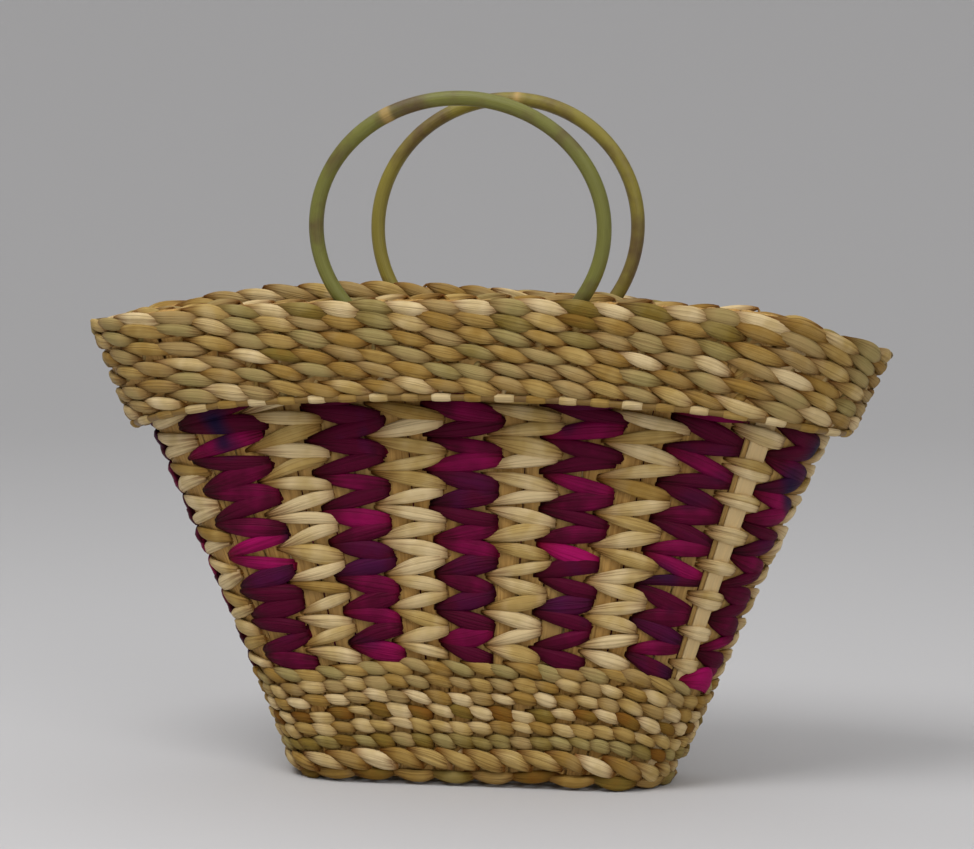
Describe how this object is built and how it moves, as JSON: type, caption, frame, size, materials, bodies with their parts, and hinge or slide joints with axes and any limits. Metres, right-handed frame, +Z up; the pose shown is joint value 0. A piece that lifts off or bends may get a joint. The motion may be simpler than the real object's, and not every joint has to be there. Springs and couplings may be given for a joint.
{
  "type": "woven basket bag",
  "caption": "Flared oval basket bag twined from reed strips over upright stakes, with a dyed zigzag band, a folded cuff and two cane ring handles that rock in the cuff.",
  "frame": {"origin": "middle of the base, on the surface that the basket stands on", "axes": "+X along the long side, to the right seen from the front; -Y is the front; +Z up"},
  "size_m": [0.4026, 0.1406, 0.3478],
  "materials": {
    "natural_weave": "dry straw-coloured reed with a soft sheen",
    "dyed_weave": "reed dyed purple to magenta, with a soft sheen",
    "stake_strip": "flat ribbed leaf strip, pale and slightly pink",
    "hoop_cane": "thin split cane, olive brown",
    "ring_cane": "smooth green-olive cane with brown mottling"
  },
  "bodies": {
    "basket": {"cross_stake_01": "stake_strip", "cross_stake_02": "stake_strip", "cross_stake_03": "stake_strip", "cross_stake_04": "stake_strip", "cross_stake_05": "stake_strip", "cross_stake_06": "stake_strip", "cross_stake_07": "stake_strip", "cross_stake_08": "stake_strip", "cross_stake_09": "stake_strip", "cross_stake_10": "stake_strip", "cross_stake_11": "stake_strip", "cross_stake_12": "stake_strip", "cross_stake_13": "stake_strip", "cross_stake_14": "stake_strip", "cross_stake_15": "stake_strip", "cross_stake_16": "stake_strip", "cross_stake_17": "stake_strip", "cross_stake_18": "stake_strip", "long_stake_01": "stake_strip", "long_stake_02": "stake_strip", "long_stake_03": "stake_strip", "long_stake_04": "stake_strip", "long_stake_05": "stake_strip", "long_stake_06": "stake_strip", "corner_stake_front_right": "stake_strip", "corner_stake_back_right": "stake_strip", "corner_stake_back_left": "stake_strip", "corner_stake_front_left": "stake_strip", "foot_braid": "natural_weave", "lower_course_01": "natural_weave", "lower_course_02": "natural_weave", "lower_course_03": "natural_weave", "lower_course_04": "natural_weave", "lower_course_05": "natural_weave", "lower_course_06": "natural_weave", "chevron_course_01": "dyed_weave", "chevron_course_02": "dyed_weave", "chevron_course_03": "dyed_weave", "chevron_course_04": "dyed_weave", "chevron_course_05": "dyed_weave", "chevron_course_06": "dyed_weave", "chevron_course_07": "dyed_weave", "chevron_course_08": "dyed_weave", "chevron_course_09": "dyed_weave", "chevron_course_10": "dyed_weave", "chevron_course_11": "dyed_weave", "chevron_course_12": "dyed_weave", "chevron_course_13": "dyed_weave", "chevron_course_14": "dyed_weave", "chevron_course_15": "dyed_weave", "upper_wall": "natural_weave", "rim_fold": "natural_weave", "cuff_course_01": "natural_weave", "cuff_course_02": "natural_weave", "cuff_course_03": "natural_weave", "cuff_course_04": "natural_weave", "cuff_course_05": "natural_weave", "cuff_hoop": "hoop_cane"},
    "front_handle": {"front_handle": "ring_cane"},
    "back_handle": {"back_handle": "ring_cane"}
  },
  "joints": [
    {"name": "front_handle_swing", "type": "hinge", "parent": "basket", "child": "front_handle", "pos_m": [0, -0.05746, 0.22901], "axis": [1, 0, 0], "range_deg": [-8, 8]},
    {"name": "back_handle_swing", "type": "hinge", "parent": "basket", "child": "back_handle", "pos_m": [0, 0.05729, 0.22652], "axis": [-1, 0, 0], "range_deg": [-8, 8]}
  ]
}
